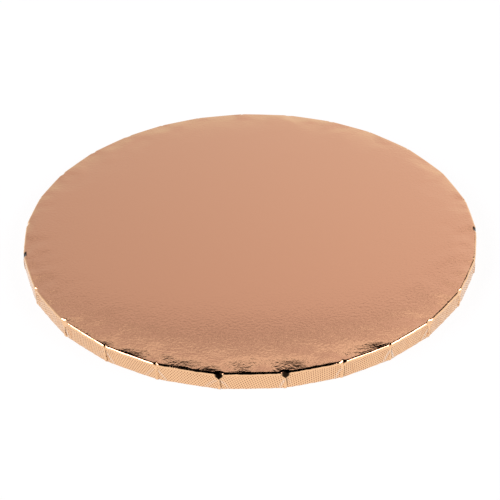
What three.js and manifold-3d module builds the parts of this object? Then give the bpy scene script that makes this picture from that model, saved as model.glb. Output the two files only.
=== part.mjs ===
// A round cake drum, the thick kind of cake board: two corrugated plies laminated into one stiff
// disc, wrapped in a single foil-faced sheet that is pleated round the rim and turned in underneath,
// with a paper disc glued over the turned-in hem.
// Millimetres, +Z up, origin at the middle of the underside.
import * as THREE from "three";
import { mergeVertices } from "three/addons/utils/BufferGeometryUtils.js";
import Module from "manifold-3d";

const degree = Math.PI / 180;

// The finished board
const boardDiameter = 340; // over the pleats
const boardThickness = 14;

// The foil-faced sheet
const wrapSheet = 0.25;
const hemWidth = 24; // how far the sheet is turned in under the board
const topEdgeRadius = 1.3;
const bottomEdgeRadius = 1;
const panelFlatness = 0.7; // of the sheet between two pleats: 0 is round, 1 is pulled straight

// The pleats: each is a flat fold of three layers under a small dimple in the top edge
const pleatCount = 27;
const pleatLayers = 3;
const firstPleatAngle = 222.2 * degree;
const foldRamp = 0.35; // width over which a fold's buried edge shows through the layer above
const foldStep = 0.1; // width of the step off a fold's outer edge
const foldClosesAt = 5; // depth below the top at which a dimple has closed into a flat fold
const dimpleWidth = 7;
const dimpleDepth = 3;
const dimpleInset = 2;
// Slow unevenness of the spacing, as the sheet was gathered: waves round the rim
const pleatDrift = [
  { waves: 1, swing: 2.7 * degree, phase: -65 * degree },
  { waves: 2, swing: 1.8 * degree, phase: 14 * degree },
  { waves: 6, swing: 0.8 * degree, phase: 97 * degree },
];

// The corrugated plies
const linerSheet = 0.4;
const fluteSheet = 0.35;
const flutePitch = 11.7;
const fluteGlueBite = 0.08; // how deep a flute's crest sits in its liner
const coreClearance = 0.3; // between the board's rim and the sheet round it
const rimCrush = 2; // the die-cut rim is crushed to this bevel by the wrapping

// The paper disc underneath
const baseSheetThickness = 0.25;
const baseSheetDiameter = 320;

// Fineness of the round and wavy shapes
const discSteps = 72;
const panelSteps = 3;
const bandSteps = 3;
const topEdgeSteps = 3;
const smallBendSteps = 2;
const fluteSteps = 6;

// Levels, from the ground up
const coreBottom = baseSheetThickness + pleatLayers * wrapSheet;
const coreTop = boardThickness - wrapSheet;
const plyThickness = (coreTop - coreBottom) / 2;

const wasm = await Module();
wasm.setup();

const lerp = THREE.MathUtils.lerp;

function pleatAngle(index) {
  const turn = (2 * Math.PI * index) / pleatCount;
  const drift = pleatDrift.reduce(
    (sum, wave) => sum + wave.swing * Math.sin(wave.waves * turn + wave.phase),
    0,
  );
  return firstPleatAngle + turn + drift;
}

// The inside of the sheet: corners at the pleats, with nearly straight panels between them
const cornerRadius = boardDiameter / 2 - pleatLayers * wrapSheet;

function panelRadius(panel, angle) {
  const start = pleatAngle(panel);
  const end = pleatAngle(panel + 1);
  const chord =
    (cornerRadius * Math.cos((end - start) / 2)) / Math.cos(angle - (start + end) / 2);
  return lerp(cornerRadius, chord, panelFlatness);
}

const panels = Array.from({ length: pleatCount }, (_, index) => index);
const narrowestRadius = Math.min(
  ...panels.map((panel) =>
    panelRadius(panel, (pleatAngle(panel) + pleatAngle(panel + 1)) / 2),
  ),
);
const coreRadius = narrowestRadius - coreClearance;
const hemRadius = boardDiameter / 2 - hemWidth;

// Sheet that a pleat takes up, where the flat sheet's circle of sheetRadius lies at rimRadius.
// A flat fold hides twice its own width.
function foldWidth(sheetRadius, rimRadius) {
  return (Math.PI * (sheetRadius - rimRadius)) / pleatCount;
}

// Points round one ring of the wrap, counter-clockwise. A ring lies at a depth below the top, and at
// hemReach under the board; place(radius, layers, gather) gives each point's radius and height.
function wrapRing(depth, hemReach, place) {
  const rimRadius = cornerRadius - hemReach;
  const fold = foldWidth(cornerRadius + depth + hemReach, rimRadius) / 2 + foldStep;
  const closed = Math.min(1, depth / foldClosesAt);
  const mouth = ((1 - closed) * dimpleWidth) / 2 + foldRamp;
  const layers = lerp(1, pleatLayers, closed);
  const acrossPleat = [
    { offset: -fold - foldRamp - mouth, layers: 1, gather: 0 },
    { offset: -fold - foldRamp, layers: 1, gather: 1 },
    { offset: -fold, layers, gather: 1 },
    { offset: fold, layers, gather: 1 },
    { offset: fold + foldStep, layers: 1, gather: 1 },
    { offset: fold + foldStep + mouth, layers: 1, gather: 0 },
  ];
  const ring = [];
  for (const pleat of panels) {
    for (const station of acrossPleat) {
      const angle = pleatAngle(pleat) + station.offset / rimRadius;
      const panel = station.offset < 0 ? pleat - 1 : pleat;
      ring.push({ angle, panel, layers: station.layers, gather: station.gather });
    }
    const from = ring[ring.length - 1].angle;
    const to = pleatAngle(pleat + 1) + acrossPleat[0].offset / rimRadius;
    for (let step = 1; step < panelSteps; step++) {
      const angle = lerp(from, to, step / panelSteps);
      ring.push({ angle, panel: pleat, layers: 1, gather: 0 });
    }
  }
  return ring.map(({ angle, panel, layers: stack, gather }) => {
    const [radius, height] = place(panelRadius(panel, angle), stack, gather);
    return new THREE.Vector3(radius * Math.cos(angle), radius * Math.sin(angle), height);
  });
}

// One closed solid from rings of equally many points: neighbouring rings are joined by quads, and
// the first and last ring are each closed to a point in their middle
function loft(rings, firstMiddle, lastMiddle) {
  const count = rings[0].length;
  const points = [firstMiddle, ...rings.flat(), lastMiddle];
  const faces = [];
  const at = (ring, column) => 1 + ring * count + (column % count);
  for (let column = 0; column < count; column++) {
    faces.push(0, at(0, column), at(0, column + 1));
    for (let ring = 0; ring + 1 < rings.length; ring++) {
      const upper = [at(ring, column), at(ring, column + 1)];
      const lower = [at(ring + 1, column), at(ring + 1, column + 1)];
      faces.push(upper[0], lower[0], upper[1]);
      faces.push(upper[1], lower[0], lower[1]);
    }
    faces.push(points.length - 1, at(rings.length - 1, column + 1), at(rings.length - 1, column));
  }
  const geometry = new THREE.BufferGeometry().setFromPoints(points);
  geometry.setIndex(faces);
  geometry.computeVertexNormals();
  return geometry;
}

// The wrap: over the top, down the band, in under the board, and back along its inner face
function makeWrap() {
  const rings = [];
  const quarter = Math.PI / 2;

  // A bend from level to upright, with a dimple where the sheet is gathered
  function topBend(turn, lining) {
    const depth = (1 - Math.cos(turn)) * topEdgeRadius;
    rings.push(
      wrapRing(depth, 0, (radius, layers, gather) => {
        const inward = topEdgeRadius + gather * dimpleInset;
        const downward = topEdgeRadius + gather * dimpleDepth;
        const outer = radius + (lining ? wrapSheet : layers * wrapSheet);
        const skin = lining ? wrapSheet : 0;
        return [
          outer - inward + (inward - skin) * Math.sin(turn),
          boardThickness - downward + (downward - skin) * Math.cos(turn),
        ];
      }),
    );
  }

  // A bend from upright to level at the bottom of the band
  function bottomBend(turn, lining) {
    rings.push(
      wrapRing(boardThickness, 0, (radius, layers) => {
        const outer = radius + layers * wrapSheet;
        const under = coreBottom - layers * wrapSheet;
        const bend = bottomEdgeRadius - wrapSheet;
        return lining
          ? [radius - bend * (1 - Math.cos(turn)), coreBottom + bend * (1 - Math.sin(turn))]
          : [
              outer - bottomEdgeRadius * (1 - Math.cos(turn)),
              under + bottomEdgeRadius * (1 - Math.sin(turn)),
            ];
      }),
    );
  }

  for (let step = 0; step <= topEdgeSteps; step++) {
    topBend((quarter * step) / topEdgeSteps, false);
  }
  for (let step = 1; step < bandSteps; step++) {
    const share = step / bandSteps;
    const depth = lerp(topEdgeRadius, boardThickness, share);
    rings.push(
      wrapRing(depth, 0, (radius, layers, gather) => {
        const from = boardThickness - topEdgeRadius - gather * dimpleDepth;
        const to = coreBottom - layers * wrapSheet + bottomEdgeRadius;
        return [radius + layers * wrapSheet, lerp(from, to, share)];
      }),
    );
  }
  for (let step = 0; step <= smallBendSteps; step++) {
    bottomBend((quarter * step) / smallBendSteps, false);
  }
  rings.push(
    wrapRing(boardThickness, hemWidth, (radius, layers) => [
      hemRadius,
      coreBottom - layers * wrapSheet,
    ]),
  );
  rings.push(wrapRing(boardThickness, hemWidth, () => [hemRadius, coreBottom]));
  for (let step = smallBendSteps; step >= 0; step--) {
    bottomBend((quarter * step) / smallBendSteps, true);
  }
  for (let step = smallBendSteps; step >= 0; step--) {
    topBend((quarter * step) / smallBendSteps, true);
  }
  return loft(
    rings,
    new THREE.Vector3(0, 0, boardThickness),
    new THREE.Vector3(0, 0, coreTop),
  );
}

// Solids for joining and cutting
function solidOf(geometry) {
  const bare = geometry.clone();
  bare.deleteAttribute("normal");
  bare.deleteAttribute("uv");
  const merged = mergeVertices(bare);
  return new wasm.Manifold(
    new wasm.Mesh({
      numProp: 3,
      vertProperties: merged.attributes.position.array,
      triVerts: new Uint32Array(merged.index.array),
    }),
  );
}

function geometryOf(solid) {
  const mesh = solid.getMesh();
  const geometry = new THREE.BufferGeometry();
  geometry.setAttribute("position", new THREE.BufferAttribute(mesh.vertProperties, 3));
  geometry.setIndex(new THREE.BufferAttribute(mesh.triVerts, 1));
  geometry.computeVertexNormals();
  return geometry;
}

// A disc turned from its half section, between two heights, with a bevel at each rim
function turnedDisc(radius, bottom, top, bottomBevel, topBevel) {
  const section = [
    [0, bottom],
    [radius - bottomBevel, bottom],
    [radius, bottom + bottomBevel],
    [radius, top - topBevel],
    [radius - topBevel, top],
    [0, top],
  ];
  const profile = section
    .filter(([r, z], i) => i === 0 || r !== section[i - 1][0] || z !== section[i - 1][1])
    .map(([r, z]) => new THREE.Vector2(r, z));
  return new THREE.LatheGeometry(profile, discSteps).rotateX(Math.PI / 2);
}

// Outline of the fluted medium, seen along its flutes: a wavy sheet whose crests and troughs sink
// into the glue on the liners
function mediumOutline() {
  const waves = Math.ceil((2 * coreRadius) / flutePitch) + 1;
  const middle = plyThickness / 2;
  const swing = middle - linerSheet - fluteSheet / 2 + fluteGlueBite;
  const upperFace = [];
  const lowerFace = [];
  for (let step = 0; step <= waves * fluteSteps; step++) {
    const turn = (2 * Math.PI * step) / fluteSteps;
    const x = flutePitch * (step / fluteSteps - waves / 2);
    const height = middle + swing * Math.cos(turn);
    const slope = ((-swing * 2 * Math.PI) / flutePitch) * Math.sin(turn);
    const halfSheet = (fluteSheet / 2) * Math.hypot(1, slope);
    upperFace.push(new THREE.Vector2(x, height + halfSheet));
    lowerFace.push(new THREE.Vector2(x, height - halfSheet));
  }
  return new THREE.Shape([...lowerFace, ...upperFace.reverse()]);
}

function linerOutline(bottom) {
  const half = boardDiameter;
  return new THREE.Shape([
    new THREE.Vector2(-half, bottom),
    new THREE.Vector2(half, bottom),
    new THREE.Vector2(half, bottom + linerSheet),
    new THREE.Vector2(-half, bottom + linerSheet),
  ]);
}

// A sheet of the corrugator's web: its outline run straight across the board
function webOf(outline) {
  const run = 2 * boardDiameter;
  const web = new THREE.ExtrudeGeometry(outline, { depth: run, bevelEnabled: false });
  return solidOf(web.translate(0, 0, -run / 2).rotateX(Math.PI / 2));
}

// A ply: liner, fluted medium and liner glued into one board, then cut round by the die
function makePly(bottom, flutesAlong, bottomBevel, topBevel) {
  const board = webOf(mediumOutline())
    .add(webOf(linerOutline(0)))
    .add(webOf(linerOutline(plyThickness - linerSheet)));
  const die = turnedDisc(coreRadius, 0, plyThickness, bottomBevel, topBevel);
  const ply = geometryOf(board.intersect(solidOf(die)));
  return ply.rotateZ(flutesAlong).translate(0, 0, bottom);
}

const roseGoldFoil = new THREE.MeshStandardMaterial({
  color: 0xecb998,
  roughness: 0.16,
  metalness: 1,
});
const brownBoard = new THREE.MeshStandardMaterial({
  color: 0xb08a5e,
  roughness: 0.9,
  metalness: 0,
});
const whitePaper = new THREE.MeshStandardMaterial({
  color: 0xf2f0ea,
  roughness: 0.85,
  metalness: 0,
});

const cakeBoard = new THREE.Group();

function addPiece(name, geometry, material) {
  const mesh = new THREE.Mesh(geometry, material);
  mesh.name = name;
  cakeBoard.add(mesh);
}

addPiece("foil_wrap", makeWrap(), roseGoldFoil);
addPiece("core_ply_lower", makePly(coreBottom, 0, rimCrush, 0), brownBoard);
addPiece(
  "core_ply_upper",
  makePly(coreBottom + plyThickness, Math.PI / 2, 0, rimCrush),
  brownBoard,
);
addPiece(
  "base_sheet",
  turnedDisc(baseSheetDiameter / 2, 0, baseSheetThickness, 0, 0),
  whitePaper,
);

export default cakeBoard;
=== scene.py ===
import math

import bmesh
import bpy
import numpy as np
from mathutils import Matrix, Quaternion, Vector


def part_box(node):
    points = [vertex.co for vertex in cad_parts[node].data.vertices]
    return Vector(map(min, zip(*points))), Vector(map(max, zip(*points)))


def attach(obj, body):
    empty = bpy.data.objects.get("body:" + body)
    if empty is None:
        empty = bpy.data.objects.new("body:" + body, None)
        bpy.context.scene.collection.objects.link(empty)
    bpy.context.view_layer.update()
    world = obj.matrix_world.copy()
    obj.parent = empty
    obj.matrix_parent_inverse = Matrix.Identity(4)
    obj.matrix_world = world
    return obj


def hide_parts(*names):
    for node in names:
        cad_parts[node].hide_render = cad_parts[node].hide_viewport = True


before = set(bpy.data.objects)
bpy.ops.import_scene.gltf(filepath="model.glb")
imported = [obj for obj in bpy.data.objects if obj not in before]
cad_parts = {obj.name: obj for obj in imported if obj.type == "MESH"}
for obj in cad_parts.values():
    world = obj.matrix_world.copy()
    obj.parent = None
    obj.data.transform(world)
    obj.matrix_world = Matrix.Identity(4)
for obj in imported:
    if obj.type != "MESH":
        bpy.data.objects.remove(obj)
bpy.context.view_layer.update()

# Rose-gold foil cake board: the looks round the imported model. Metres, +Z up, seen from -Y.

mm = 0.001
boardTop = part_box("foil_wrap")[1].z


# Camera

cameraSettings = dict(
    lens=88.65,                  # on a 36 mm sensor
    distance=0.928,              # from the middle of the top face
    elevation=34.62,             # above the top face, degrees
    aim=(-0.0002, -0.0327),      # the point of the top face in the middle of the picture
    roll=-1.13,                  # degrees
)


def makeCamera(s):
    data = bpy.data.cameras.new("photoCamera")
    data.lens = s["lens"]
    data.sensor_width = 36
    data.sensor_fit = "HORIZONTAL"
    camera = bpy.data.objects.new("photoCamera", data)
    bpy.context.scene.collection.objects.link(camera)
    elevation = math.radians(s["elevation"])
    back = s["distance"] * math.cos(elevation)
    rise = s["distance"] * math.sin(elevation)
    camera.location = (0, -back, boardTop + rise)
    look = Vector((*s["aim"], boardTop)) - camera.location
    level = look.to_track_quat("-Z", "Y")
    camera.rotation_mode = "QUATERNION"
    camera.rotation_quaternion = level @ Quaternion((0, 0, 1), math.radians(s["roll"]))
    bpy.context.scene.camera = camera


makeCamera(cameraSettings)
print("camera placed")


# Node helpers

def newTree(name):
    material = bpy.data.materials.new(name)
    material.use_nodes = True
    material.node_tree.nodes.clear()
    return material, material.node_tree


def addNode(tree, kind, **settings):
    node = tree.nodes.new(kind)
    for key, value in settings.items():
        setattr(node, key, value)
    return node


def mathNode(tree, operation, *values):
    node = addNode(tree, "ShaderNodeMath", operation=operation)
    for slot, value in zip(node.inputs, values):
        if isinstance(value, (int, float)):
            slot.default_value = value
        else:
            tree.links.new(value, slot)
    return node.outputs[0]


def softStep(tree, value, low, high, toLow=0.0, toHigh=1.0):
    node = addNode(tree, "ShaderNodeMapRange", interpolation_type="SMOOTHSTEP")
    tree.links.new(value, node.inputs["Value"])
    for name, number in (
        ("From Min", low), ("From Max", high), ("To Min", toLow), ("To Max", toHigh)
    ):
        node.inputs[name].default_value = number
    return node.outputs["Result"]


def rampNode(tree, value, stops):
    node = addNode(tree, "ShaderNodeValToRGB")
    elements = node.color_ramp.elements
    while len(elements) < len(stops):
        elements.new(0.5)
    for element, (place, colour) in zip(elements, stops):
        element.position = place
        element.color = (*colour, 1)
    tree.links.new(value, node.inputs["Fac"])
    return node.outputs["Color"]


def noiseNode(tree, vector, scale, detail=2.0, roughness=0.5):
    node = addNode(tree, "ShaderNodeTexNoise")
    tree.links.new(vector, node.inputs["Vector"])
    node.inputs["Scale"].default_value = scale
    node.inputs["Detail"].default_value = detail
    node.inputs["Roughness"].default_value = roughness
    return node.outputs["Fac"]


def mixColours(tree, factor, first, second):
    node = addNode(tree, "ShaderNodeMix", data_type="RGBA")
    tree.links.new(factor, node.inputs["Factor"])
    for side, colour in ((node.inputs[6], first), (node.inputs[7], second)):
        if isinstance(colour, tuple):
            side.default_value = (*colour, 1)
        else:
            tree.links.new(colour, side)
    return node.outputs[2]


def bumpNode(tree, height, depth, under=None):
    node = addNode(tree, "ShaderNodeBump")
    node.inputs["Strength"].default_value = 1
    node.inputs["Distance"].default_value = depth
    tree.links.new(height, node.inputs["Height"])
    if under is not None:
        tree.links.new(under, node.inputs["Normal"])
    return node.outputs["Normal"]


def finishMaterial(tree, shader):
    output = addNode(tree, "ShaderNodeOutputMaterial")
    tree.links.new(shader.outputs[0], output.inputs["Surface"])


def dress(obj, material):
    obj.data.materials.clear()
    obj.data.materials.append(material)


# The foil-faced sheet: spun from its section, then gathered into pleats

wrapSettings = dict(
    diameter=340 * mm,           # over the pleats
    sheet=0.25 * mm,
    foldLayers=3,
    hemWidth=24 * mm,
    hemGround=1.0 * mm,          # the core's underside, on which the hem lies
    topBend=1.7 * mm,
    bottomBend=1.0 * mm,
    flatness=0.7,                # of the panels between pleats
    pleats=27,
    firstPleat=222.2,            # degrees
    drift=((1, 2.7, -65), (2, 1.8, 14), (6, 0.8, 97)),   # waves round the rim, swing, phase
    columns=48,                  # from one pleat to the next
    foldStep=0.1 * mm,
    foldCloses=5 * mm,           # depth at which a fold lies flat
    foldPress=0.6,               # thickness left in a fold that is pressed flat
    foldGroove=0.3 * mm,         # how far the sheet is pulled in beside a fold's edge
    foldPaintedShade=(0.3, 1),          # painted shade in that groove, from the palest to the darkest pleat
    foldLean=1.1 * mm,           # most that a fold's edge wanders sideways on its way down
    leanReach=6 * mm,            # how far beside the fold the sheet leans with it
    dimpleWidth=7 * mm,
    dimpleDepth=3 * mm,
    dimpleInset=0.4 * mm,
    largestDimple=1.05,          # as a share of these sizes
    unevenness=0.85,             # the smallest dimple is smaller by this share
    shadedDimple=0.96,             # dimples from this share on are open, with painted shade inside
    dimpleFlatness=0.8,          # of a dimple's slope: 0 is round, 1 is straight
    hemSag=0.35 * mm,            # the hem hangs below its own level at the rim
    hemPress=0.4,                # thickness left in a fold under the board
    lowest=0.05 * mm,            # nothing hangs lower than this
    creaseStart=3.5 * mm,        # depth at which the slanting creases beside a pleat begin
    creaseReach=(2.5 * mm, 12 * mm),   # how far from the pleat they end
    creaseHeight=0.25 * mm,
    creaseWidth=0.95 * mm,       # from ridge to foot
    buckle=0.09 * mm,            # waviness of the band
    buckleStart=2 * mm,
    buckleWaves=((61, 90), (97, -170), (143, 260), (211, -320)),   # round the rim, and their slant
    rimRings=(120 * mm, 166 * mm),     # between these radii the top face takes on the rim's outline
    smoothWidth=0.6 * mm,        # beside a fold, where the emboss is pressed out
    seed=112,
)
faceRadii = (0, 60, 110, 135, 148, 156, 161, 164.5, 167)   # rings of the top face, mm
hemShares = (0.1, 0.3, 0.6, 1.0)
sectionSteps = dict(topBend=7, band=18, bottomBend=4, bottomLining=3, topLining=4)
stepsAfterFold = (0.1, 0.4, 0.8, 1.3, 1.9, 2.6, 3.4, 4.4, 5.6)   # columns beside a fold, mm
stepsBeforeFold = (0.17, 0.35, 0.8, 1.4, 2.1, 3.0, 4.2, 5.6)
sharesAfter = (0, 0.5, 0.9, 1)   # columns on a fold, from its middle to its edge
sharesBefore = (0.5, 1)
grooveShares = (1, 1, 0.4)       # depth of the groove in the first columns after a fold


def sheetRows():
    # the section's rows, from the middle of the top round to the middle of the sheet's inside
    rows = [("face", r * mm) for r in faceRadii]
    for part in ("topBend", "band", "bottomBend"):
        steps = sectionSteps[part]
        ends = (1, steps) if part == "band" else (0, steps + 1)
        rows += [(part, i / steps) for i in range(*ends)]
    rows += [("hem", share) for share in hemShares]
    rows += [("hemBack", 1.0)]
    for part in ("bottomLining", "topLining"):
        steps = sectionSteps[part]
        rows += [(part, i / steps) for i in range(steps, -1, -1)]
    rows += [("faceLining", 0.0)]
    return rows


def plainSection(s, rows):
    # radius and height of each row on the ungathered sheet
    outer = s["diameter"] / 2
    points = []
    for part, share in rows:
        turn = share * math.pi / 2
        lining = part.endswith("Lining")
        skin = s["sheet"] if lining else 0
        if part == "face":
            points.append((share, boardTop))
        elif part == "faceLining":
            points.append((0, boardTop - s["sheet"]))
        elif part.startswith("top"):
            bend = s["topBend"]
            reach = outer - bend + (bend - skin) * math.sin(turn)
            points.append((reach, boardTop - bend + (bend - skin) * math.cos(turn)))
        elif part == "band":
            low = s["hemGround"] - s["sheet"] + s["bottomBend"]
            high = boardTop - s["topBend"]
            points.append((outer, high + (low - high) * share))
        elif part.startswith("bottom"):
            bend = s["bottomBend"]
            base = s["hemGround"] - s["sheet"] + bend
            reach = outer - bend + (bend - skin) * math.cos(turn)
            points.append((reach, base - (bend - skin) * math.sin(turn)))
        elif part == "hem":
            inset = s["bottomBend"] + (s["hemWidth"] - s["bottomBend"]) * share
            points.append((outer - inset, s["hemGround"] - s["sheet"]))
        else:
            points.append((outer - s["hemWidth"], s["hemGround"]))
    return points


def spinSheet(s, rows):
    bm = bmesh.new()
    rowTag = bm.verts.layers.int.new("row")
    verts = []
    for index, (radius, height) in enumerate(plainSection(s, rows)):
        vert = bm.verts.new((radius, 0, height))
        vert[rowTag] = index
        verts.append(vert)
    edges = [bm.edges.new(pair) for pair in zip(verts, verts[1:])]
    bmesh.ops.spin(
        bm, geom=verts + edges, cent=(0, 0, 0), axis=(0, 0, 1), dvec=(0, 0, 0),
        angle=2 * math.pi, steps=s["pleats"] * s["columns"], use_merge=True,
    )
    bmesh.ops.remove_doubles(bm, verts=bm.verts, dist=0.001 * mm)
    bmesh.ops.recalc_face_normals(bm, faces=bm.faces)
    mesh = bpy.data.meshes.new("foilWrap")
    bm.to_mesh(mesh)
    bm.free()
    return mesh


def pleatAngles(s):
    index = np.arange(-1, s["pleats"] + 2)
    turn = 2 * np.pi * index / s["pleats"]
    drift = sum(swing * np.sin(n * turn + math.radians(phase)) for n, swing, phase in s["drift"])
    return turn + np.radians(s["firstPleat"] + drift)


def drawPleats(s):
    # each pleat differs a little from the next, and the last entry is the first pleat again
    rng = np.random.default_rng(s["seed"])
    count = s["pleats"] + 1
    draws = dict(
        size=s["largestDimple"] - s["unevenness"] * rng.uniform(0, 1, count),
        lean=s["foldLean"] * rng.uniform(-1, 1, count),
        paintedGrooveShade=rng.uniform(*s["foldPaintedShade"], count),
        creaseEnds=rng.uniform(*s["creaseReach"], (2, count)),
        sharpness=rng.uniform(0, 1, (2, count)),
    )
    for each in draws.values():
        each[..., -1] = each[..., 0]
    draws["phases"] = [rng.uniform(0, 2 * np.pi) for wave in s["buckleWaves"]]
    return draws


def spreadColumns(s, panel, place, fold, ring):
    # columns beside a pleat follow its fold, and the rest share the panel
    angles = pleatAngles(s)
    start, end = angles[panel + 1], angles[panel + 2]
    last = s["columns"]
    after = [share * fold for share in sharesAfter] + [fold + step * mm for step in stepsAfterFold]
    before = [share * fold for share in sharesBefore] + [fold + step * mm for step in stepsBeforeFold]
    fromPlace, toPlace = len(after) - 1, last - len(before)
    across = np.clip((place - fromPlace) / (toPlace - fromPlace), 0, 1)
    angle = start + after[-1] / ring
    angle = angle + (end - before[-1] / ring - angle) * across
    for index, reachAfter in enumerate(after):
        angle = np.where(place == index, start + reachAfter / ring, angle)
    for index, reachBefore in enumerate(before):
        angle = np.where(place == last - 1 - index, end - reachBefore / ring, angle)
    pleat = np.where(place <= last // 2, panel, panel + 1)
    offset = (angle - angles[pleat + 1]) * ring
    return start, end, angle, pleat, offset


def bandBuckle(s, angle, depth, phases):
    # slow waviness of the band
    waves = sum(
        np.sin(count * angle + slant * depth + phase) / 2
        for (count, slant), phase in zip(s["buckleWaves"], phases)
    )
    return waves * s["buckle"] * np.clip(depth / s["buckleStart"], 0, 1)


def creaseRidge(s, depth, away, ends, sharpness):
    # creases that slant away from a pleat, down to the bottom edge
    below = np.clip((depth - s["creaseStart"]) / (boardTop - s["creaseStart"]), 0, 1)
    fromRidge = np.abs(away - below * ends)
    ridge = np.clip(1 - fromRidge / s["creaseWidth"], 0, 1)
    return s["creaseHeight"] * ridge * np.minimum(1, below * 5) * sharpness


def markSheet(mesh, name, values):
    mark = mesh.attributes.new(name, "FLOAT", "POINT")
    mark.data.foreach_set("value", values.astype(np.float32))


def gatherSheet(s, mesh, rows):
    # moves the spun sheet's points to the gathered sheet, and marks its embossed part
    count = len(mesh.vertices)
    co = np.empty(count * 3)
    mesh.vertices.foreach_get("co", co)
    co = co.reshape(-1, 3)
    row = np.empty(count, int)
    mesh.attributes["row"].data.foreach_get("value", row)
    part = np.array([name for name, share in rows])[row]
    share = np.array([value for name, value in rows])[row]
    lining = np.char.endswith(part, "Lining") | (part == "hemBack")
    inHem = np.char.startswith(part, "hem")
    isFace, isBand = part == "face", part == "band"
    isTop = (part == "topBend") | (part == "topLining")
    isBottom = (part == "bottomBend") | (part == "bottomLining")

    last = s["columns"]
    columns = s["pleats"] * last
    column = np.round(np.arctan2(co[:, 1], co[:, 0]) / (2 * np.pi) * columns).astype(int) % columns
    panel, place = column // last, column % last

    # how far down the sheet each point lies, and the circle it was on
    radius, height = np.hypot(co[:, 0], co[:, 1]), co[:, 2].copy()
    depth = np.clip(boardTop - height, 0, None)
    depth[lining & np.char.startswith(part, "top")] = 0
    depth[inHem] = boardTop
    reach = np.where(inHem, s["diameter"] / 2 - radius, 0)
    corner = s["diameter"] / 2 - s["foldLayers"] * s["sheet"]
    ring = corner - reach
    fold = math.pi * (depth + 2 * reach) / s["pleats"] / 2 + s["foldStep"]
    closed = np.clip(depth / s["foldCloses"], 0, 1)

    draws = drawPleats(s)
    start, end, angle, pleat, offset = spreadColumns(s, panel, place, fold, ring)
    size = draws["size"][pleat]
    near = np.exp(-(offset / s["leanReach"]) ** 2)
    angle = angle + draws["lean"][pleat] * np.clip(depth / boardTop, 0, 1) * near / ring

    # radius of the sheet's inside, with nearly straight panels
    middle = (start + end) / 2
    chord = corner * np.cos((end - start) / 2) / np.cos(angle - middle)
    inside = corner + (chord - corner) * s["flatness"]

    # layers in the fold, and the groove beside it
    hidden = (s["foldLayers"] - 1) * s["sheet"] * s["foldPress"] * closed
    onFold = (place < len(sharesAfter)) | (place >= last - len(sharesBefore))
    beforeFold = place == last - len(sharesBefore) - 1
    extra = np.where(onFold, hidden, 0) + np.where(beforeFold, hidden / 2, 0)
    inGroove = sum(
        np.where(place == len(sharesAfter) + index, groove, 0) for index, groove in enumerate(grooveShares)
    )
    groove = s["foldGroove"] * closed * inGroove

    # dimple in the top edge over each pleat
    halfWidth = s["dimpleWidth"] / 2 * size
    gather = np.clip(1 - np.abs(offset) / halfWidth, 0, 1)
    inward = s["topBend"] + gather * s["dimpleInset"] * size
    downward = s["topBend"] + gather * s["dimpleDepth"] * size

    side = np.where(place <= last // 2, 0, 1)
    ends, sharpness = draws["creaseEnds"][side, pleat], draws["sharpness"][side, pleat]
    ridge = creaseRidge(s, depth, np.abs(offset) - fold, ends, sharpness)
    skin = np.where(lining, s["sheet"], 0)
    outer = inside + s["sheet"] + np.where(lining, 0, extra + ridge - groove)
    outer = outer + bandBuckle(s, angle, depth, draws["phases"])

    # top bend, rounder between the pleats than in the dimples
    turn = share * np.pi / 2
    straight = s["dimpleFlatness"] * gather
    outwards = np.sin(turn) + straight * (share - np.sin(turn))
    upwards = np.cos(turn) + straight * (1 - share - np.cos(turn))
    radius = np.where(isTop, outer - inward + (inward - skin) * outwards, radius)
    height = np.where(isTop, boardTop - downward + (downward - skin) * upwards, height)

    # bottom bend, band and hem
    bend = s["bottomBend"]
    sag = s["hemSag"] * np.clip(1 - reach / s["hemWidth"], 0, 1)
    under = s["hemGround"] - s["sheet"] - np.where(lining, 0, extra * s["hemPress"]) - sag
    under = np.maximum(under, s["lowest"])
    radius = np.where(isBottom, outer - bend + (bend - skin) * np.cos(turn), radius)
    height = np.where(isBottom, under + bend - (bend - skin) * np.sin(turn), height)
    high, low = boardTop - downward, under + bend
    radius = np.where(isBand, outer, radius)
    height = np.where(isBand, high + (low - high) * share, height)
    height = np.where(part == "hem", under, height)

    # the top face takes the rim's outline
    firstRing, lastRing = s["rimRings"]
    follow = np.clip((share - firstRing) / (lastRing - firstRing), 0, 1) ** 3
    rimShape = (outer - inward) / (s["diameter"] / 2 - s["topBend"] - s["sheet"])
    radius = np.where(isFace, radius * (1 + follow * (rimShape - 1)), radius)

    co[:, 0], co[:, 1], co[:, 2] = radius * np.cos(angle), radius * np.sin(angle), height
    mesh.vertices.foreach_set("co", co.ravel())

    # the gathered part has lost its emboss, and gets painted shade in its grooves and open dimples
    gathered = s["smoothWidth"] + (1 - closed) * halfWidth * 1.5
    smooth = np.clip(1 - np.abs(offset) / gathered, 0, 1)
    markSheet(mesh, "emboss", np.where(isBand | isBottom, 1 - smooth, 0))
    # painted shade in the mouths of the largest dimples, where the top edge dips over a pleat
    mouthShade = np.clip((size - s["shadedDimple"]) * 40, 0, 1) * np.clip(gather * 4 - 0.6, 0, 1)
    # painted shade in the groove beside each fold, and in the mouths of the open dimples
    shade = np.where(isBand, inGroove * closed * draws["paintedGrooveShade"][pleat], 0) + np.where(isTop, mouthShade, 0)
    markSheet(mesh, "foldShade", shade)
    # painted highlight along the crease ridges on the band
    markSheet(mesh, "paintedCreaseHighlight", np.where(isBand, ridge / s["creaseHeight"], 0))
    mesh.attributes.remove(mesh.attributes["row"])
    mesh.update()


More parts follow.
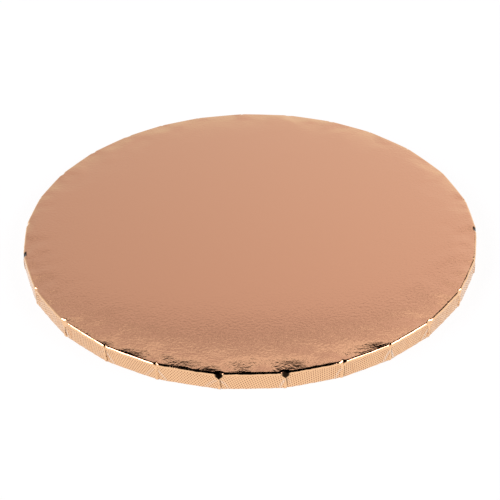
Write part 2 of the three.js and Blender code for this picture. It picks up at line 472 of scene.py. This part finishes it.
foilSettings = dict(
    tint=(0.93, 0.57, 0.32),
    foldShade=0.006,             # what is left of the tint under the painted shade in the folds and dimple mouths
    roughness=0.07,
    peelSize=2.0 * mm,           # of the pebbly cells in the lacquer
    peelDepth=0.16 * mm,
    calmShare=0.12,              # of the pebbling left in the middle of the board
    calmReach=30 * mm,
    longSize=16 * mm,
    longDepth=0.02 * mm,
    rimFall=1.0 * mm,            # the top face rolls over towards the rim
    rimReach=10.5 * mm,
    rimEnd=3 * mm,               # the roll is over where the bend begins
    pullSize=24 * mm,            # the roll is stronger where the sheet was pulled
    pullEdges=(0.35, 0.7),
    pullRange=(0.6, 1.5),
    sheetTurn=-20,               # of the emboss on the flat sheet, degrees
    embossPitch=(2.0 * mm, 2.5 * mm),
    embossDepth=0.16 * mm,
    embossShade=(0.78, 1.0),     # painted shade of the pits, from the weakest to the strongest parts
    embossPatch=30 * mm,
    pitEdges=(-0.15, -0.75),     # heights between which the painted shade of a pit begins and is full
    # reddish painted shade in the emboss pits
    pitShadeTint=(0.25, 0.08, 0.04),
    # painted highlight on the crease ridges
    creaseHighlightTint=(1.0, 0.93, 0.84),
)


def rimRoll(tree, s, place, inside):
    # the top face rolls over towards the rim, more in some places than in others
    roll = mathNode(tree, "EXPONENT", mathNode(tree, "DIVIDE", inside, s["rimReach"]))
    pull = noiseNode(tree, place, 1 / s["pullSize"], detail=1)
    pull = softStep(tree, pull, *s["pullEdges"], *s["pullRange"])
    fall = mathNode(tree, "MULTIPLY", roll, pull)
    return bumpNode(tree, mathNode(tree, "MULTIPLY", fall, -1.0), s["rimFall"])


def lacquerPeel(tree, s, place, inside, under):
    # slow waves of the glued sheet, and pebbling of the lacquer, rougher towards the rim
    normal = bumpNode(tree, noiseNode(tree, place, 1 / s["longSize"], detail=1), s["longDepth"], under)
    rough = mathNode(tree, "EXPONENT", mathNode(tree, "DIVIDE", inside, s["calmReach"]))
    rough = mathNode(tree, "ADD", rough, s["calmShare"])
    peel = mathNode(tree, "MULTIPLY", noiseNode(tree, place, 1 / s["peelSize"], detail=3), rough)
    return bumpNode(tree, peel, s["peelDepth"], normal)


def pressedDots(tree, s, radius, x, y, z):
    # dots pressed into the sheet while it was flat, left only on the band
    flat = mathNode(tree, "DIVIDE", mathNode(tree, "SUBTRACT", boardTop, z), radius)
    flat = mathNode(tree, "ADD", flat, 1.0)
    turn = math.radians(s["sheetTurn"])
    cosine, sine = math.cos(turn), math.sin(turn)
    waves = []
    for (shareX, shareY), pitch in zip(((cosine, sine), (-sine, cosine)), s["embossPitch"]):
        alongX = mathNode(tree, "MULTIPLY", x, shareX)
        along = mathNode(tree, "ADD", alongX, mathNode(tree, "MULTIPLY", y, shareY))
        along = mathNode(tree, "MULTIPLY", mathNode(tree, "MULTIPLY", along, flat), 2 * math.pi / pitch)
        waves.append(mathNode(tree, "SINE", along))
    dots = mathNode(tree, "MULTIPLY", *waves)
    mask = addNode(tree, "ShaderNodeAttribute", attribute_name="emboss").outputs["Fac"]
    return mathNode(tree, "MULTIPLY", dots, mask)


def foilColour(tree, s, place, pressed):
    # painted highlight on the creases, reddish painted shade in the pits, and painted shade in the folds
    # and dimple mouths, nearly black
    # painted highlight along the crease ridges
    creases = addNode(tree, "ShaderNodeAttribute", attribute_name="paintedCreaseHighlight").outputs["Fac"]
    colour = mixColours(tree, creases, s["tint"], s["creaseHighlightTint"])
    patches = noiseNode(tree, place, 1 / s["embossPatch"], detail=4, roughness=0.7)
    patches = softStep(tree, patches, 0.35, 0.65, *s["embossShade"])
    # painted shade in the pits, stronger in some patches than others
    pits = mathNode(tree, "MULTIPLY", softStep(tree, pressed, *s["pitEdges"]), patches)
    colour = mixColours(tree, pits, colour, s["pitShadeTint"])
    # painted shade in the fold grooves and dimple mouths, mixed towards near black
    folds = addNode(tree, "ShaderNodeAttribute", attribute_name="foldShade").outputs["Fac"]
    dark = tuple(s["foldShade"] * part for part in s["tint"])
    return mixColours(tree, folds, colour, dark)


def foilMaterial(s, radius):
    material, tree = newTree("roseGoldFoil")
    place = addNode(tree, "ShaderNodeTexCoord").outputs["Object"]
    axes = addNode(tree, "ShaderNodeSeparateXYZ")
    tree.links.new(place, axes.inputs[0])
    x, y, z = axes.outputs
    squares = mathNode(tree, "ADD", mathNode(tree, "MULTIPLY", x, x), mathNode(tree, "MULTIPLY", y, y))
    inside = mathNode(tree, "SUBTRACT", mathNode(tree, "SQRT", squares), radius)
    inside = mathNode(tree, "MINIMUM", inside, -s["rimEnd"])

    normal = rimRoll(tree, s, place, inside)
    normal = lacquerPeel(tree, s, place, inside, normal)
    pressed = pressedDots(tree, s, radius, x, y, z)
    normal = bumpNode(tree, pressed, s["embossDepth"], normal)

    shader = addNode(tree, "ShaderNodeBsdfPrincipled")
    tree.links.new(foilColour(tree, s, place, pressed), shader.inputs["Base Color"])
    shader.inputs["Metallic"].default_value = 1
    shader.inputs["Roughness"].default_value = s["roughness"]
    tree.links.new(normal, shader.inputs["Normal"])
    finishMaterial(tree, shader)
    return material


def makeFoilWrap():
    rows = sheetRows()
    mesh = spinSheet(wrapSettings, rows)
    gatherSheet(wrapSettings, mesh, rows)
    for polygon in mesh.polygons:
        polygon.use_smooth = True
    wrap = bpy.data.objects.new("foilWrap", mesh)
    bpy.context.scene.collection.objects.link(wrap)
    dress(wrap, foilMaterial(foilSettings, wrapSettings["diameter"] / 2))
    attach(wrap, "root")
    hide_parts("foil_wrap")
    return wrap


foilWrap = makeFoilWrap()
print("foil wrap:", len(foilWrap.data.polygons), "faces")


# Paper and board

paperSettings = dict(
    light=(0.83, 0.82, 0.79),
    dark=(0.74, 0.73, 0.70),
    fibre=1.5 * mm,
    tooth=0.02 * mm,
)
boardSettings = dict(
    light=(0.47, 0.30, 0.15),
    dark=(0.34, 0.20, 0.09),
    fibre=3 * mm,
    tooth=0.05 * mm,
)


def fibreMaterial(name, s):
    material, tree = newTree(name)
    place = addNode(tree, "ShaderNodeTexCoord").outputs["Object"]
    fleck = noiseNode(tree, place, 1 / s["fibre"], detail=5, roughness=0.7)
    tooth = noiseNode(tree, place, 6 / s["fibre"], detail=2)
    shader = addNode(tree, "ShaderNodeBsdfPrincipled")
    shader.inputs["Roughness"].default_value = 0.9
    colour = mixColours(tree, softStep(tree, fleck, 0.35, 0.75), s["light"], s["dark"])
    tree.links.new(colour, shader.inputs["Base Color"])
    tree.links.new(bumpNode(tree, tooth, s["tooth"]), shader.inputs["Normal"])
    finishMaterial(tree, shader)
    return material


dress(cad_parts["base_sheet"], fibreMaterial("whitePaper", paperSettings))
kraft = fibreMaterial("kraftBoard", boardSettings)
for name in ("core_ply_upper", "core_ply_lower"):
    dress(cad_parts[name], kraft)
print("paper and board dressed")


# Studio

studioSettings = dict(
    floorSize=8.0,
    floorGlow=0.94,
    floorTone=0.08,
    sideBoxes=11.0,              # strength of the soft boxes at both sides
    frontStrip=0.2,              # strength of the low strip light in front
    leftToRight=(0.81, 1.17),    # the sky is brighter on the right
    sky=(                        # by the sine of the elevation
        (0.00, (0.84, 0.83, 0.82)),
        (0.38, (0.77, 0.73, 0.74)),
        (0.49, (0.70, 0.60, 0.67)),
        (0.636, (0.65, 0.515, 0.56)),
        (0.648, (0.36, 0.28, 0.31)),
        (0.660, (0.38, 0.30, 0.32)),
        (0.681, (0.84, 0.725, 0.76)),
        (0.75, (0.84, 0.725, 0.76)),
        (0.775, (0.004, 0.003, 0.003)),
        (1.00, (0.002, 0.002, 0.002)),
    ),
)
# Fields of the sky, by direction: along each axis a field grows from nothing at the first number
# to full at the second. Breadth is the distance from the middle to either side.
skyFields = dict(
    darkFront=dict(y=(-0.4, -0.5), breadth=(0.62, 0.52), z=(0.2, 0.25)),
    sideBoxes=dict(breadth=(0.55, 0.62), y=(0.08, -0.02), z=(0.3, 0.36), top=(0.72, 0.66)),
    boxCorner=dict(x=(0.1, 0.3), y=(-0.4, -0.5), z=(0.54, 0.46)),   # cut out of the right box
    rightFlag=dict(x=(0.4, 0.46), z=(0.4, 0.46), y=(0.1, 0.2)),
    frontStrip=dict(z=(0.01, 0.03), top=(0.2, 0.16), y=(-0.4, -0.5), breadth=(0.62, 0.52)),
)


def makeFloor(s):
    bm = bmesh.new()
    bmesh.ops.create_grid(bm, x_segments=1, y_segments=1, size=s["floorSize"] / 2)
    mesh = bpy.data.meshes.new("paleFloor")
    bm.to_mesh(mesh)
    bm.free()
    floor = bpy.data.objects.new("paleFloor", mesh)
    bpy.context.scene.collection.objects.link(floor)
    material, tree = newTree("paleFloor")
    shader = addNode(tree, "ShaderNodeBsdfPrincipled")
    shader.inputs["Base Color"].default_value = (*[s["floorTone"]] * 3, 1)
    shader.inputs["Roughness"].default_value = 1
    shader.inputs["Specular IOR Level"].default_value = 0
    shader.inputs["Emission Color"].default_value = (1, 1, 1, 1)
    shader.inputs["Emission Strength"].default_value = s["floorGlow"]
    finishMaterial(tree, shader)
    dress(floor, material)


def skyField(tree, axes, edges):
    field = None
    for axis, ends in edges.items():
        step = softStep(tree, axes[axis], *ends)
        field = step if field is None else mathNode(tree, "MULTIPLY", field, step)
    return field


def makeSky(s):
    world = bpy.data.worlds.new("softStudio")
    bpy.context.scene.world = world
    world.use_nodes = True
    tree = world.node_tree
    tree.nodes.clear()
    parts = addNode(tree, "ShaderNodeSeparateXYZ")
    tree.links.new(addNode(tree, "ShaderNodeTexCoord").outputs["Generated"], parts.inputs[0])
    x, y, z = parts.outputs
    axes = dict(x=x, y=y, z=z, top=z, breadth=mathNode(tree, "ABSOLUTE", x))
    fields = {name: skyField(tree, axes, edges) for name, edges in skyFields.items()}

    # the sky, with the dark front and the flag taken out
    strength = softStep(tree, x, -0.4, 0.4, *s["leftToRight"])
    for name in ("darkFront", "rightFlag"):
        strength = mathNode(tree, "MULTIPLY", strength, mathNode(tree, "SUBTRACT", 1.0, fields[name]))

    # the lights in it
    whole = mathNode(tree, "SUBTRACT", 1.0, fields["boxCorner"])
    boxes = mathNode(tree, "MULTIPLY", fields["sideBoxes"], whole)
    strength = mathNode(tree, "ADD", strength, mathNode(tree, "MULTIPLY", boxes, s["sideBoxes"]))
    strip = mathNode(tree, "MULTIPLY", fields["frontStrip"], s["frontStrip"])
    strength = mathNode(tree, "ADD", strength, strip)

    background = addNode(tree, "ShaderNodeBackground")
    tree.links.new(rampNode(tree, z, s["sky"]), background.inputs["Color"])
    tree.links.new(strength, background.inputs["Strength"])
    output = addNode(tree, "ShaderNodeOutputWorld")
    tree.links.new(background.outputs[0], output.inputs["Surface"])


makeFloor(studioSettings)
makeSky(studioSettings)
bpy.context.scene.view_settings.view_transform = "Standard"
print("studio lit")
